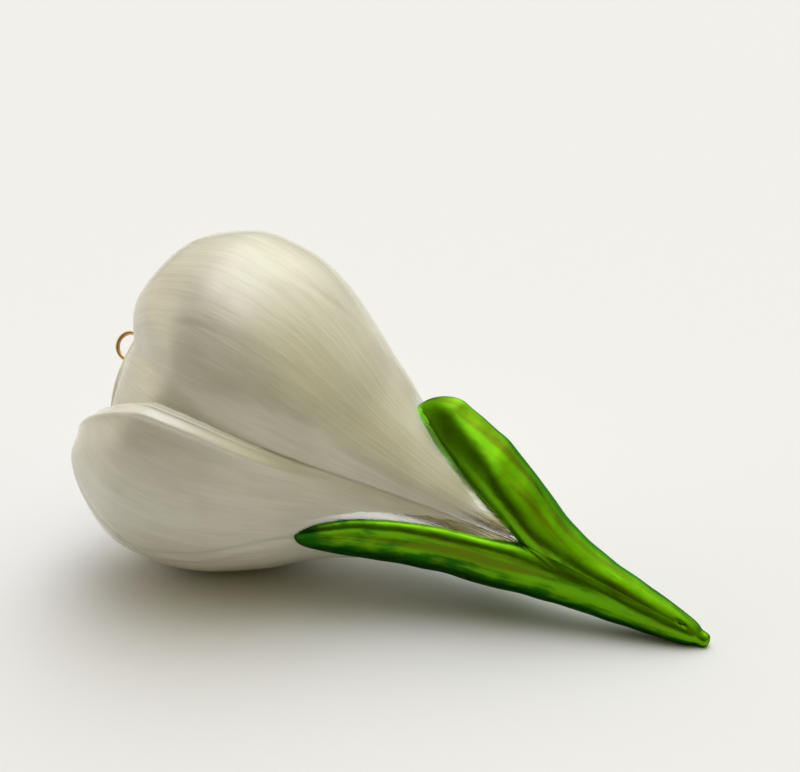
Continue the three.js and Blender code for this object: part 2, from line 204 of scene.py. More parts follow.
def petal_relief(t, angle, radius):
    """Height of the petals over the round body. Each gap is sunk by the recess, deeper at its mouth beside
    the crisp edge. That edge is a short step, then a bevel, then a long easy rise. The petal's other edge
    rises as a full round shoulder: one minus a rounded ramp, to the power 2.2. The middle of each petal is
    lifted, by a little more or less on each to set the length of its tip."""
    from_edge = (angle - station(t, EDGE)) % SECTOR
    arc = np.radians(1) * np.maximum(radius, 3)
    in_soft = (from_edge - station(t, GAP)) * arc
    in_crisp = (SECTOR - from_edge) * arc
    swell = np.clip(radius * 0.34, 1.5, 11)
    foot = 0.25 * swell
    side = np.clip((in_soft + foot) / np.clip(radius * (0.43 + 0.27 * ease(t, 9, 12)), 1.9, 24), 0, 1)
    soft = (1 - (np.hypot(side, 0.1) - 0.1) / (np.hypot(1, 0.1) - 0.1)) ** 2.2
    step = np.where(in_crisp < 0.5, 1 - 0.5 * ease(in_crisp, 0, 0.5), 0.5 - 0.26 * ease(in_crisp, 0.5, 2.4))
    bevel = np.maximum(step - 0.24 * ease(in_crisp, 2.4, 13), 0)
    crispness = ease(t, 8.2, 11)
    crisp = crispness * bevel + (1 - crispness) * (1 - ease(in_crisp, -0.2, swell))
    sunk = np.maximum(soft, crisp)
    which = np.floor((angle - station(t, EDGE)) / SECTOR).astype(int) % PETALS
    tip = np.array(TIP_LENGTHS)[which] * ease(t, 15.3, 17) * (1 - ease(t, 18.2, 20))
    hollow = 1 + HOLLOW * (1 - ease(from_edge, 12, 60)) * ease(t, 16.5, 18)
    return (station(t, LIFT) + tip) * (1 - sunk) - station(t, RECESS) * hollow * sunk


def leaf_relief(t, angle, along, radius, inset=0.0):
    """Height of the leaves over the body, how far inside the nearest leaf's edge each point is, and the
    depth in its channels: a crest along the leaf times a round section, with a channel on each side of a
    middle ridge. An inset makes the raised part that much narrower and shorter."""
    height = np.zeros(np.broadcast(t, angle).shape)
    inside = np.full(height.shape, -99.0)
    channel = np.zeros(height.shape)
    near = t < LEAF_REACH
    for leaf in LEAVES:
        half = leaf_half(leaf, along)
        across = round_from(angle, leaf["angle"], radius)
        x = np.minimum(across / np.maximum(half - inset, 0.001), 1)
        tip = np.sqrt(1 - np.clip(1 - (leaf["tip"] - inset - along) / LEAF_TIP_ROUND, 0, 1) ** 2)
        groove = np.sin(np.pi * np.clip(x / 0.86, 0, 1)) ** 2 * ease(along, 22, 42)
        rise = curve(leaf["height"], along) * tip * np.sqrt(1 - x ** leaf["round"])
        rise = rise - LEAF_CHANNEL * groove * ease(leaf["tip"] - along, 0, 9)
        past = np.maximum(along - leaf["tip"], 0)
        distance = np.where(past > 0, -np.hypot(past, np.maximum(across - half, 0)), half - across)
        here = near & (distance > inside)
        inside = np.where(here, distance, inside)
        covered = near & (along < leaf["tip"] - inset) & (x < 1)
        height = np.where(covered & (rise > height), rise, height)
        channel = np.where(covered, groove, channel)
    return height, inside, channel


def handwork(t, angle, along, radius):
    """The unevenness of blown glass: slow waves round and along, a midrib crease on each petal, fainter on
    the upper one, a bead below each crisp edge, one short crease on the upper petal, ripples on the leaves
    and a swell beside the upper leaf's tip."""
    turn = np.radians(angle)
    body = ease(t, 8, 11) * (1 - ease(t, 17.5, 20))
    upper = ease(np.abs(wrap(angle - 105)), 50, 65)
    to_rim = (SECTOR - (angle - station(t, EDGE)) % SECTOR) * np.radians(radius)
    bead = 0.16 * np.exp(-((to_rim - 2.5) / 0.5) ** 2) * ease(t, 9, 10.5)
    waves = (np.sin(5 * turn + along * 0.11 + 0.4) + 0.7 * np.sin(8 * turn - along * 0.17 + 2.1)
             + 0.6 * np.sin(13 * turn + along * 0.23 + 4.0) + 0.5 * np.sin(2 * turn + along * 0.31)) * 0.05
    from_rib = (angle - np.interp(along, *MIDRIB)) % SECTOR
    rib = np.radians(np.minimum(from_rib, SECTOR - from_rib)) * radius
    midrib = -0.28 * np.exp(-(rib / 0.9) ** 2) + 0.2 * np.exp(-((rib - 1.8) / 1.5) ** 2)
    crease = round_from(angle, np.interp(along, *CREASE), radius)
    fold = -0.09 * np.exp(-(crease / 0.9) ** 2) * ease(along, 86, 92) * (1 - ease(along, 104, 109)) * (t < 16)
    ripple = (np.sin(along * 0.55 + 3 * turn) + np.sin(along * 0.93 - 4 * turn + 1.0)) * 0.04
    ripple = ripple * (1 - ease(t, 9, 11)) * ease(along, 6, 16)
    beside = np.hypot(along - 69.5, round_from(angle, 127, radius)) / 6
    knob = 0.9 * np.exp(-beside ** 2) * (t < 14)
    return body * (waves + bead + midrib * (0.25 + 0.75 * upper)) + fold + ripple + knob


def body_point(t, lift):
    """Distance along and radius of the round body moved along its own normal by lift."""
    step = 0.002
    before, after = np.maximum(t - step, 0), np.minimum(t + step, LAST)
    da = station(after, ALONG) - station(before, ALONG)
    dr = station(after, RADIUS) - station(before, RADIUS)
    length = np.hypot(da, dr)
    return station(t, ALONG) - dr / length * lift, station(t, RADIUS) + da / length * lift


def surface(t, angle, lift=0.0, inset=0.0):
    """A point of the outside: the body's spline moved along its own normal by the whole relief plus lift.
    Gives distance along, radius, and what the materials read: leaf margin, channel and pit."""
    along, radius = station(t, ALONG), np.maximum(station(t, RADIUS), THINNEST)
    leaf, inside, channel = leaf_relief(t, angle, along, radius, inset)
    height = petal_relief(t, angle, radius) + leaf + handwork(t, angle, along, radius)
    from_pit = np.hypot(along - PIT_ALONG, round_from(angle, PIT_ANGLE, radius)) / PIT_RADIUS
    pit = np.exp(-from_pit ** 4)
    out_along, out_radius = body_point(t, height - PIT_DEPTH * pit + lift)
    return out_along, np.maximum(out_radius, 0), inside, channel, pit


def sector_columns(count):
    """The columns of one petal's sector, evenly spread between the numbers of COLUMNS."""
    places = np.linspace(0, len(COLUMNS) - 1, count, endpoint=False)
    return np.interp(places, np.arange(len(COLUMNS)), COLUMNS)


def column_angles(t, columns):
    """The angles of a ring's columns, for rings t (a column vector), so that they follow the leaves' sides
    on the stem and the petals' edges in the bloom."""
    along, radius = station(t, ALONG), np.maximum(station(t, RADIUS), THINNEST)
    bloom = ease(t, *LEAF_TO_PETAL)
    angles = []
    for leaf in LEAVES:
        upper = station(t, EDGE) + leaf["turn"]
        lower = upper - SECTOR
        room = np.minimum(upper - leaf["angle"], leaf["angle"] - lower)
        stem_side = np.clip(np.degrees(leaf_half(leaf, along) / radius), room * 0.3, room * 0.94)
        petal_side = np.maximum(SECTOR - station(t, GAP), 8) / 2
        middle = leaf["angle"] + (upper - petal_side - leaf["angle"]) * bloom
        side = stem_side + (petal_side * 0.75 - stem_side) * bloom
        lines = (lower, middle - side, middle + side, upper)
        i = np.minimum(columns.astype(int), 2)
        stack = np.concatenate(lines, axis=1)
        angles.append(stack[:, i] + (stack[:, i + 1] - stack[:, i]) * (columns - i))
    return np.concatenate(angles, axis=1)


# ------------------------------------------------------------------ places

def axes(shape):
    """The flower's own directions as it lies: along its axis, its front, and its top."""
    tilt = shape.tilt
    return (np.array((-np.cos(tilt), 0.0, np.sin(tilt))), np.array((0.0, -1.0, 0.0)),
            np.array((np.sin(tilt), 0.0, np.cos(tilt))))


def place(shape, along, radius, angle):
    """Points in millimetres from distance along, radius and angle: along times the axis, plus radius times
    the cosine of the angle to the front and its sine to the top."""
    ahead, front, top = axes(shape)
    turn = np.radians(angle) + shape.roll
    return (along[..., None] * ahead + (radius * np.cos(turn))[..., None] * front
            + (radius * np.sin(turn))[..., None] * top)


def spread(ranges, fineness):
    """Fractional stations from a list of from, to and steps, with the steps multiplied by the fineness."""
    parts = [np.linspace(low, high, int(steps * fineness), endpoint=False) for low, high, steps in ranges]
    return np.concatenate(parts + [[ranges[-1][1]]])[:, None]


# Rings of the outside and the inside, as stations from and to and a number of steps, and the neck's own
# rings, as distance along and radius.
OUTSIDE = ((0.2, 2, 5), (2, 5, 5), (5, 7.4, 6), (7.4, 9.4, 12), (9.4, 14, 12), (14, 19, 14), (19, LAST, 5))
INSIDE = ((LAST, 19, 1), (19, 14, 4), (14, 9.4, 3), (9.4, 7.4, 2), (7.4, 3.4, 3))
NECK = ((NECK_TOP - 0.2, NECK_OUTER), (NECK_TOP - 0.06, NECK_OUTER - 0.06), (NECK_TOP, NECK_OUTER - 0.2),
        (NECK_TOP, NECK_INNER + 0.2), (NECK_TOP - 0.2, NECK_INNER), (NECK_BASE, NECK_INNER))


def origin(shape):
    """The frame's origin in the flower's own place: under the middle of its outline, with the lowest points
    sunk by the depth of the flat spots."""
    t = spread(OUTSIDE, 2)
    angle = column_angles(t, sector_columns(96))
    along, radius, *_ = surface(t + 0 * angle, angle)
    points = place(shape, along, radius, angle).reshape(-1, 3)
    low, high = points.min(axis=0), points.max(axis=0)
    return np.array(((low[0] + high[0]) / 2, (low[1] + high[1]) / 2, low[2] + shape.flat_depth / MM))


def ring_faces(rings, count):
    """Quads between rings of count points each, closed round the ring."""
    first = np.arange(rings - 1)[:, None] * count + np.arange(count)[None, :]
    after = np.arange(rings - 1)[:, None] * count + (np.arange(count)[None, :] + 1) % count
    return np.stack((first, after, after + count, first + count), axis=-1).reshape(-1, 4)


def make_piece(name, points, faces, values=None, fans=()):
    """A smooth-shaded mesh object at the origin from points in millimetres and quads, with named point
    values. fans are further arrays of faces, which close its poles or ends."""
    mesh = bpy.data.meshes.new(name)
    all_faces = faces.tolist()
    for fan in fans:
        all_faces += fan.tolist()
    mesh.from_pydata((points * MM).tolist(), [], all_faces)
    for label, numbers in (values or {}).items():
        layer = mesh.attributes.new(label, "FLOAT", "POINT")
        layer.data.foreach_set("value", np.ascontiguousarray(numbers, dtype=np.float32).ravel())
    mesh.validate()
    mesh.polygons.foreach_set("use_smooth", np.ones(len(mesh.polygons), dtype=bool))
    mesh.update()
    piece = bpy.data.objects.new(name, mesh)
    bpy.context.scene.collection.objects.link(piece)
    return piece


def merge(piece, distance):
    """Joins points that meet, drops what collapses, and turns all faces outwards."""
    work = bmesh.new()
    work.from_mesh(piece.data)
    bmesh.ops.remove_doubles(work, verts=work.verts, dist=distance)
    bmesh.ops.recalc_face_normals(work, faces=work.faces)
    work.to_mesh(piece.data)
    work.free()
    piece.data.polygons.foreach_set("use_smooth", np.ones(len(piece.data.polygons), dtype=bool))
    piece.data.update()


# ------------------------------------------------------------------ the pieces

def wall_height(t, angle):
    """The relief without its handwork, at its lowest within three degrees and a sixth of a station."""
    heights = []
    for dt in (-0.16, 0, 0.16):
        row = np.clip(t + dt, 0, LAST)
        along, radius = station(row, ALONG), np.maximum(station(row, RADIUS), THINNEST)
        for turned in (angle - 3, angle, angle + 3):
            heights.append(petal_relief(row, turned, radius) + leaf_relief(row, turned, along, radius)[0])
    return np.min(heights, axis=0)


def flower_glass(shape):
    """The blown glass in one closed surface: rings of the outside from the stem's end to the neck, over the
    neck's lip, and back to the sealed stem as rings of the inside, a wall's thickness within. Under the
    green coat the outside lies a little deeper, and deeper still in and round the pit."""
    columns = sector_columns(shape.columns)
    t = spread(OUTSIDE, shape.fineness)
    angle = column_angles(t, columns)
    t = t + 0 * angle
    margin, _, pit = surface(t, angle)[2:]
    under = GLASS_UNDER_COAT * ease(margin, 0, 0.5) + GLASS_UNDER_PIT * pit ** 0.1
    along, radius = surface(t, angle, under, 0.5)[:2]
    ti = spread(INSIDE, shape.fineness / 2)
    inner_angle = column_angles(ti, columns)
    ti = ti + 0 * inner_angle
    inner_along, inner_radius = body_point(ti, wall_height(ti, inner_angle) - shape.glass / MM)
    neck = [np.tile([[value]], (1, angle.shape[1])) for row in NECK for value in row]
    all_along = np.concatenate((along, *neck[0::2], inner_along))
    all_radius = np.concatenate((radius, *neck[1::2], np.maximum(inner_radius, THINNEST)))
    all_angle = np.concatenate((angle, *[angle[-1:]] * len(NECK), inner_angle))
    rings, count = all_along.shape
    points = place(shape, all_along, all_radius, all_angle).reshape(-1, 3)
    poles = place(shape, np.array([0.02, all_along[-1, 0] - 0.5]), np.zeros(2), np.zeros(2))
    points = np.concatenate((points, poles)) - origin(shape)
    points[:, 2] = np.maximum(points[:, 2], 0)
    before, after = np.arange(count), (np.arange(count) + 1) % count
    last = (rings - 1) * count
    start_fan = np.stack((after, before, np.full(count, rings * count)), axis=1)
    end_fan = np.stack((last + before, last + after, np.full(count, rings * count + 1)), axis=1)
    turn = np.radians(all_angle)
    # The band just inside each crisp edge, which the pearl material paints lighter: a painted highlight on
    # the bevel.
    to_rim = (SECTOR - (angle - station(t, EDGE)) % SECTOR) * np.radians(np.maximum(radius, 3))
    rim = ease(t, 9.5, 11.5) * (1 - ease(to_rim, 2, 3.4)) * (1 - ease(t, 19, 20))
    values = {}
    for label, numbers in (("leaf_margin", margin), ("along", all_along), ("round_x", np.cos(turn)),
                           ("round_y", np.sin(turn)), ("rim", rim)):
        values[label] = np.zeros(len(points))
        values[label][:numbers.size] = numbers.ravel()
    return make_piece("flower_glass", points, ring_faces(rings, count), values, (start_fan, end_fan))


def leaf_lacquer(shape):
    """The green coat on the stem and leaves: for each leaf a thin closed sheet over the glass, from the
    stem's end, where the sheets meet along the stem, to the leaf's tip, as wide as the leaf."""
    rows, columns = int(50 * shape.fineness), 61
    search = np.linspace(0, LEAF_REACH, 4000)
    along_there = station(search, ALONG)
    grid = np.arange(rows * columns).reshape(rows, columns)
    quads = np.stack((grid[:-1, :-1], grid[:-1, 1:], grid[1:, 1:], grid[1:, :-1]), axis=-1).reshape(-1, 4)
    rim = np.concatenate((grid[0], grid[1:, -1], grid[-1, -2::-1], grid[-2:0:-1, 0]))
    follow = np.roll(rim, -1)
    wall = np.stack((follow, rim, rim + grid.size, follow + grid.size), axis=-1)
    faces = np.concatenate((quads, quads[:, ::-1] + grid.size, wall))
    points, values = [], []
    for leaf in LEAVES:
        tip = np.interp(leaf["tip"] - 0.01, along_there, search)
        s = np.linspace(0, 1, rows)[:, None]
        t = 0.02 + (tip - 0.02) * (1 - (1 - s) ** 1.8)
        along, radius = station(t, ALONG), np.maximum(station(t, RADIUS), THINNEST)
        half = np.degrees((leaf_half(leaf, along) + COAT_EDGE) / radius)
        upper = station(t, EDGE) + leaf["turn"] - leaf["angle"] + COAT_OVERLAP
        lower = SECTOR + 2 * COAT_OVERLAP - upper
        v = np.sin(np.linspace(-1, 1, columns)[None, :] * np.pi / 2)
        angle = leaf["angle"] + np.where(v > 0, np.minimum(half, upper), np.minimum(half, lower)) * v
        across = leaf["angle"] + np.radians(angle - leaf["angle"]) * radius
        # How far each point faces down, which the green material reads to paint shade on the underside.
        down = -np.sin(np.radians(angle) + shape.roll)
        t = t + 0 * angle
        for lift in (COAT_OUTER, COAT_INNER):
            reach, height, margin, channel, pit = surface(t, angle, lift)
            points.append(place(shape, reach, height, angle).reshape(-1, 3) - origin(shape))
            values.append([layer.ravel() for layer in (margin, channel, pit, reach, across, down)])
    points = np.concatenate(points)
    points[:, 2] = np.maximum(points[:, 2], 0)
    labels = ("leaf_margin", "channel", "pit", "along", "across", "down")
    values = {label: np.concatenate([layers[k] for layers in values]) for k, label in enumerate(labels)}
    all_faces = np.concatenate([faces + 2 * grid.size * n for n in range(len(LEAVES))])
    return make_piece("leaf_lacquer", points, all_faces, values)


def arc(centre, radius, start, end, count):
    """Points of an arc in the profile plane, as radius and distance along: centre plus radius times cosine
    and sine of evenly spaced angles."""
    turn = np.radians(np.linspace(start, end, count))[:, None]
    return np.array(centre) + radius * np.concatenate((np.cos(turn), np.sin(turn)), axis=1)


def cap_profile():
    """The cap's section from the middle of its top, down its skirt, round the edge and up inside, as pairs
    of radius and distance along."""
    top = np.array((0, 0.6, 1.2, 1.8, 2.4, 3.0, 3.4, 3.7, 4.0))[:, None]
    dish = np.concatenate((top, CAP_TOP - 0.1 * ease(top, 2.6, 3.4) + 0.1 * ease(top, 3.4, 4.0)), axis=1)
    shoulder = arc((CAP_OUTER - CAP_CORNER, CAP_TOP - CAP_CORNER), CAP_CORNER, 80, 0, 9)
    s = np.linspace(0, 1, 16)[1:, None]
    along = CAP_TOP - CAP_CORNER + (CAP_SKIRT_END - CAP_TOP + CAP_CORNER) * s
    flare = CAP_FLARE * (1 - np.cos(s * np.pi / 2)) ** 1.4
    skirt = np.concatenate((CAP_OUTER + flare, along), axis=1)
    edge = arc((CAP_OUTER + CAP_FLARE - CAP_SHEET / 2, CAP_SKIRT_END), CAP_SHEET / 2, -20, -160, 6)
    inner_corner = CAP_CORNER * 0.6
    under = arc((CAP_INNER - inner_corner, CAP_UNDER - inner_corner), inner_corner, 0, 90, 6)
    middle = [(0, CAP_UNDER)]
    return np.concatenate((dish, shoulder, skirt, edge, (skirt - (CAP_SHEET, 0))[::-1], under, middle))


def metal_cap(shape):
    """The stamped cap: its section turned round the axis, with the skirt moved in and out by a cosine of
    the angle times the number of crimps, growing towards the skirt's edge."""
    profile = cap_profile()
    count = 256
    angle = np.linspace(0, 360, count, endpoint=False)[None, :]
    radius, along = profile[:, :1] + 0 * angle, profile[:, 1:] + 0 * angle
    crimped = (1 - ease(along, CAP_SKIRT_END, CAP_TOP - 1.2)) * (radius > NECK_OUTER)
    radius = radius + CAP_CRIMP * crimped * np.cos(np.radians(CAP_CRIMPS * angle))
    points = place(shape, along, radius, angle + 0 * along).reshape(-1, 3) - origin(shape)
    piece = make_piece("cap_cup", points, ring_faces(len(profile), count))
    merge(piece, 1e-6)
    cut_wire_holes(piece, shape)
    return piece


def loop_side(shape):
    """The direction across the loop, square to the flower's axis."""
    front, top = axes(shape)[1:]
    plane = np.radians(LOOP_PLANE) + shape.roll
    return front * np.cos(plane) + top * np.sin(plane)


def cut_wire_holes(piece, shape):
    """Cuts the two round holes that the wire's legs pass through, with closed cylinders as cutters."""
    ahead, side = axes(shape)[0], loop_side(shape)
    other = np.cross(ahead, side)
    sides = 32
    turn = np.linspace(0, 2 * np.pi, sides, endpoint=False)[:, None]
    for offset in (-LEG, LEG):
        circle = side * offset + WIRE_HOLE / 2 * (np.cos(turn) * side + np.sin(turn) * other) - origin(shape)
        points = np.concatenate([circle + ahead * along for along in (CAP_UNDER - 1, CAP_TOP + 1)])
        lids = (np.arange(sides)[None, ::-1], np.arange(sides, 2 * sides)[None, :])
        cutter = make_piece("hole_cutter", points, ring_faces(2, sides), fans=lids)
        merge(cutter, 1e-7)
        cut = piece.modifiers.new("hole", "BOOLEAN")
        cut.operation, cut.solver, cut.object = "DIFFERENCE", "EXACT", cutter
        evaluated = piece.evaluated_get(bpy.context.evaluated_depsgraph_get())
        cut_mesh = bpy.data.meshes.new_from_object(evaluated)
        piece.modifiers.clear()
        piece.data = cut_mesh
        bpy.data.objects.remove(cutter)
    piece.data.set_sharp_from_angle(angle=np.radians(35))


def wire_path():
    """The wire's middle line in the loop's plane, as distance across and along: a leg sprung outwards under
    the neck, up through the cap, round the loop and down the other leg, rounded by a running average."""
    opening = np.arcsin(LEG / LOOP)
    middle = LOOP_BASE + LOOP * np.cos(opening)
    leg = np.array(((5, 101), (4, 102.8), (3, 104.5), (2.1, 106.6), (1.6, 109.5), (1.25, 113), (LEG, CAP_TOP),
                    (LEG, LOOP_BASE - 0.7)))
    turn = np.linspace(opening, 2 * np.pi - opening, 60)
    ring = np.stack((LOOP * np.sin(turn), middle - LOOP * np.cos(turn)), axis=1)
    line = np.concatenate((leg, ring, (leg * (-1, 1))[::-1]))
    up = np.maximum(line[:, 1] - CAP_TOP, 0)
    lean = np.radians(LOOP_LEAN) * ease(up, 0, 1.3)
    line = np.stack((line[:, 0] * np.cos(lean) + up * np.sin(lean),
                     np.minimum(line[:, 1], CAP_TOP) + up * np.cos(lean) - line[:, 0] * np.sin(lean)), axis=1)
    length = np.concatenate(([0], np.cumsum(np.hypot(*np.diff(line, axis=0).T))))
    even = np.linspace(0, length[-1], 420)
    weights = np.hanning(15)[1:-1] / np.hanning(15).sum()
    smooth = []
    for values in line.T:
        padded = np.pad(np.interp(even, length, values), 6, mode="reflect", reflect_type="odd")
        smooth.append(np.convolve(padded, weights, mode="valid")[::2])
    return smooth


def wire_hanger(shape):
    """A round wire: circles of the wire's radius carried along the path, square to it, with domed ends."""
    ahead, side = axes(shape)[0], loop_side(shape)
    across, along = wire_path()
    line = across[:, None] * side + along[:, None] * ahead - origin(shape)
    tangent = np.gradient(line, axis=0)
    tangent /= np.linalg.norm(tangent, axis=1, keepdims=True)
    dome = np.radians((88, 60, 35, 15))
    reach = np.concatenate((-np.sin(dome), np.zeros(len(line)), np.sin(dome[::-1]))) * WIRE / 2
    radius = np.concatenate((np.cos(dome), np.ones(len(line)), np.cos(dome[::-1]))) * WIRE / 2
    at = np.clip(np.arange(len(reach)) - len(dome), 0, len(line) - 1)
    middle = line[at] + tangent[at] * reach[:, None]
    other = np.cross(ahead, side)
    normal = np.cross(other, tangent[at])
    count = 24
    turn = np.linspace(0, 2 * np.pi, count, endpoint=False)[None, :, None]
    ring = np.cos(turn) * normal[:, None, :] + np.sin(turn) * other
    points = (middle[:, None, :] + radius[:, None, None] * ring).reshape(-1, 3)
    last = (len(reach) - 1) * count
    lids = (np.arange(count)[None, ::-1], last + np.arange(count)[None, :])
    piece = make_piece("wire_loop", points, ring_faces(len(reach), count), fans=lids)
    merge(piece, 1e-8)
    return piece


# ------------------------------------------------------------------ shader values

class Value:
    """A socket of a node tree: Python's operators on it add Math nodes, and node adds any other."""

    def __init__(self, tree, socket=None):
        self.tree = tree
        self.socket = socket

    def node(self, kind, settings, sockets, output=0):
        """A new node: its settings, then each of its sockets set to a value or linked to one."""
        new = self.tree.nodes.new("ShaderNode" + kind)
        for name, setting in settings.items():
            setattr(new, name, setting)
        for name, given in sockets.items():
            if isinstance(given, Value):
                self.tree.links.new(given.socket, new.inputs[name])
            else:
                new.inputs[name].default_value = given
        return Value(self.tree, new.outputs[output])

    def math(self, operation, *values):
        return self.node("Math", {"operation": operation}, dict(enumerate(values)))

    def __add__(self, other):
        return self.math("ADD", self, other)

    def __sub__(self, other):
        return self.math("SUBTRACT", self, other)

    def __rsub__(self, other):
        return self.math("SUBTRACT", other, self)

    def __mul__(self, other):
        return self.math("MULTIPLY", self, other)

    __radd__ = __add__

    def rise(self, low, high):
        """A smooth step from 0 at low to 1 at high."""
        settings = {"interpolation_type": "SMOOTHSTEP"}
        return self.node("MapRange", settings, {"Value": self, "From Min": low, "From Max": high})

    def attribute(self, name):
        return self.node("Attribute", {"attribute_name": name}, {}, "Fac")

    def noise(self, vector, scale, detail=2.0, roughness=0.5):
        """Soft noise between 0 and 1."""
        return self.node("TexNoise", {}, {"Vector": vector, "Scale": scale, "Detail": detail,
                                          "Roughness": roughness})

    def mix(self, factor, first, second):
        """A colour between two colours."""
        return self.node("Mix", {"data_type": "RGBA"}, {0: factor, 6: first, 7: second}, 2)

    def vector(self, x, y, z):
        return self.node("CombineXYZ", {}, {"X": x, "Y": y, "Z": z})


def new_material(name, build, **constants):
    """A material with a Principled shader: build gives what feeds it, by socket name."""
    material = bpy.data.materials.new(name)
    material.use_nodes = True
    tree = material.node_tree
    shader = tree.nodes["Principled BSDF"]
    for socket, number in constants.items():
        shader.inputs[socket.replace("_", " ")].default_value = number
    for socket, fed in build(Value(tree)).items():
        tree.links.new(fed.socket, shader.inputs[socket])
    return material


def colour(values):
    return (*values, 1.0)


def pearl_material(finish):
    """Pearl lacquer brushed on from the stem to the petal tips: fine streaks that fan out along the petals,
    slow cloudy changes of tone, the silvered glass bare near the leaves, and a lighter band along each crisp
    rim, which is a painted highlight where light falls on the bevel."""
    def build(g):
        along, margin, rim = g.attribute("along"), g.attribute("leaf_margin"), g.attribute("rim")
        x, y = g.attribute("round_x"), g.attribute("round_y")
        fine = g.noise(g.vector(x * 30.0, y * 30.0, along * 0.1), 1.0, 4.0, 0.65)
        wide = g.noise(g.vector(x * 9.0, y * 9.0, along * 0.05), 1.0, 2.0)
        position = g.node("TexCoord", {}, {}, "Object")
        cloud = g.noise(position, 70.0, 2.0)
        wobble = g.noise(position, 260.0, 2.0)
        edge = margin + (wobble - 0.5) * 1.2
        strip = edge.rise(-2.0, -1.5) * (1.0 - along.rise(66.0, 74.0))
        fork = 1.0 - (along + (fine - 0.5) * 14.0).rise(42.0, 53.0)
        bare = strip.math("MAXIMUM", strip, fork)
        tone = (fine - 0.5) * 0.8 + (wide - 0.5) * 0.5 + (cloud - 0.5) * 0.8 + 0.5
        pearl = g.mix(tone.rise(0.1, 0.9), colour(finish.pearl_deep), colour(finish.pearl))
        # Lighter pearl along each crisp rim: a painted highlight where light falls on the bevel.
        pearl = g.mix(rim * 0.75, pearl, colour(finish.pearl_rim_highlight))
        base = g.mix(bare, pearl, colour(finish.silver))
        bump = g.node("Bump", {}, {"Strength": 0.3, "Distance": 0.0003, "Height": fine + wide * 0.3})
        return {"Base Color": base, "Metallic": 0.12 + bare * 0.83,
                "Roughness": 0.45 + (fine - 0.5) * 0.1 - bare * 0.2 - rim * 0.12, "Normal": bump}
    return new_material("pearl_lacquer", build, Coat_Weight=0.7, Coat_Roughness=0.13)


def green_material(finish):
    """Clear green over silver: the bright green stays on the leaf's ridges; browner in its channels, deeper
    green along its edge and on its underside, all painted shade; brown-green blotches and deep spots at
    random, fine lengthwise streaks and a dark pit at the stem's end."""
    def build(g):
        along, margin = g.attribute("along"), g.attribute("leaf_margin")
        channel, pit, across = g.attribute("channel"), g.attribute("pit"), g.attribute("across")
        # How far the surface faces down: the underside is painted deeper green, a painted shade.
        underside_shade = g.attribute("down").rise(-0.1, 0.5)
        band = g.noise(g.vector(across * 0.55, along * 0.035, 0.0), 1.0, 2.0, 0.5)
        streak = g.noise(g.vector(across * 1.6, along * 0.07, 3.0), 1.0, 2.0, 0.5)
        spots = g.noise(g.vector(across * 0.6, along * 0.22, 7.0), 1.0, 2.0, 0.45)
        position = g.node("TexCoord", {}, {}, "Object")
        lumps = g.noise(position, 190.0, 2.0)
        # Browner in the channels: painted shade in the recesses; the bands and streaks are random tone.
        brown = (band - 0.5) * 2.6 + channel * 0.5 + (streak - 0.5) * 0.8
        # Deeper green on the underside and within 0.7 mm of the leaf's edge is painted shade; the spots and
        # streaks are random tone.
        deep = underside_shade * 0.75 + (1.0 - margin.rise(0.0, 0.7)) * 0.25 + (spots - 0.5) * 1.6 + (streak - 0.5) * 0.8
        tint = g.mix(brown.rise(0.0, 0.7) * 0.85, colour(finish.leaf), colour(finish.leaf_brown))
        tint = g.mix(deep.rise(0.15, 0.75), tint, colour(finish.leaf_deep))
        tint = g.mix(pit, tint, (0.004, 0.006, 0.002, 1.0))
        bump = g.node("Bump", {}, {"Strength": 0.2, "Distance": 0.0012, "Height": lumps + streak * 0.1})
        return {"Base Color": tint, "Roughness": 0.29 + spots * 0.12, "Normal": bump}
    return new_material("green_lacquer", build, Metallic=1.0, Specular_Tint=colour(finish.leaf_edge),
                        Coat_Weight=0.1, Coat_Roughness=0.08)


def brass_material(name, finish, dullness):
    """Thin brass sheet or wire: warm metal, duller and browner in patches, with fine wear."""
    def build(g):
        position = g.node("TexCoord", {}, {}, "Object")
        patch = g.noise(position, 420.0, 3.0, 0.6)
        wear = g.noise(position, 3200.0, 2.0, 0.6)
        tint = g.mix(patch.rise(0.4, 0.75) * dullness, colour(finish.brass), colour(finish.brass_dull))
        bump = g.node("Bump", {}, {"Strength": 0.15, "Distance": 0.0001, "Height": wear})
        return {"Base Color": tint, "Roughness": 0.2 + patch * 0.2 + wear * 0.08, "Normal": bump}
    return new_material(name, build, Metallic=1.0)


def table_material(stage):
    """Matt pale card with the faintest grain."""
    def build(g):
        position = g.node("TexCoord", {}, {}, "Object")
        grain = g.noise(position, 900.0, 3.0)
        low, high = (tuple(c * k for c in stage.table) for k in (0.985, 1.0))
        return {"Base Color": g.mix(grain, colour(low), colour(high))}
    return new_material("pale_card", build, Roughness=0.9, Specular_IOR_Level=0.15)


# ------------------------------------------------------------------ the studio

def studio_world(stage):
    """Light by direction: the sum of the lamps, each its colour times the cosine to its direction raised to
    its tightness, with a plain pale wall where the table ends."""
    world = bpy.data.worlds.new("studio")
    world.use_nodes = True
    tree = world.node_tree
    g = Value(tree)
    ray = g.node("TexCoord", {}, {}, "Generated")
    light = (0.0, 0.0, 0.0)
    for direction, tightness, tint in LAMPS:
        facing = g.node("VectorMath", {"operation": "DOT_PRODUCT"}, {0: ray, 1: direction}, "Value")
        lobe = g.math("POWER", g.math("MAXIMUM", facing, 0.0), tightness)
        tint = tuple(part * stage.lamp_power for part in tint)
        light = g.node("VectorMath", {"operation": "MULTIPLY_ADD"}, {0: lobe, 1: tint, 2: light}, "Vector")
    seen = g.node("LightPath", {}, {}, "Is Camera Ray")
    back = tree.nodes["Background"]
    tree.links.new(g.mix(seen, light, colour(stage.wall)).socket, back.inputs["Color"])
    return world


